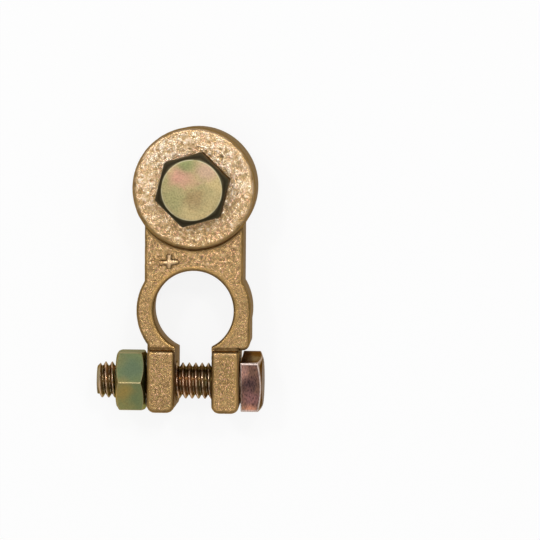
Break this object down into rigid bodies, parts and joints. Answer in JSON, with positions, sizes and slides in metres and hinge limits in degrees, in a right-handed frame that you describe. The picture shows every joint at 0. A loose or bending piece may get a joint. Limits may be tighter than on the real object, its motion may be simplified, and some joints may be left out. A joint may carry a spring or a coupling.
{
  "type": "battery terminal clamp",
  "caption": "Cast clamp that grips a tapered battery post with a pinch bolt and holds a cable eye under the bolt on its round pad.",
  "frame": {"origin": "on the axis of the post bore, level with the flat underside", "axes": "+Y from the post bore to the cable pad, along the longest side; +Z along the post bore's axis, from the underside to the marked face; +X across, towards the pinch bolt's head"},
  "size_m": [0.0363, 0.0627, 0.0217],
  "materials": {
    "cast_brass": "as cast, fine orange-peel texture, satin",
    "cable_bolt_plating": "steel with yellow passivated zinc, satin",
    "pinch_bolt_plating": "steel with yellow passivated zinc, satin",
    "pinch_nut_plating": "steel with yellow passivated zinc, satin"
  },
  "bodies": {
    "body": {"clamp_body": "cast_brass"},
    "cable_bolt": {"cable_bolt": "cable_bolt_plating"},
    "pinch_bolt": {"pinch_bolt": "pinch_bolt_plating"},
    "pinch_nut": {"pinch_nut": "pinch_nut_plating"}
  },
  "joints": [
    {"name": "pinch_nut_turn", "type": "hinge", "parent": "body", "child": "pinch_nut", "pos_m": [-0.0139, -0.0157, 0.00758], "axis": [-1, 0, 0], "range_deg": [0, 2520]},
    {"name": "pinch_bolt_slide", "type": "slide", "parent": "body", "child": "pinch_bolt", "axis": [1, 0, 0], "range_m": [0, 0.01]},
    {"name": "cable_bolt_lift", "type": "slide", "parent": "body", "child": "cable_bolt", "axis": [0, 0, 1], "range_m": [0, 0.0127]}
  ],
  "couplings": [
    {"joint": "pinch_bolt_slide", "follows": "pinch_nut_turn", "m_per_rad": 0.00022459}
  ]
}
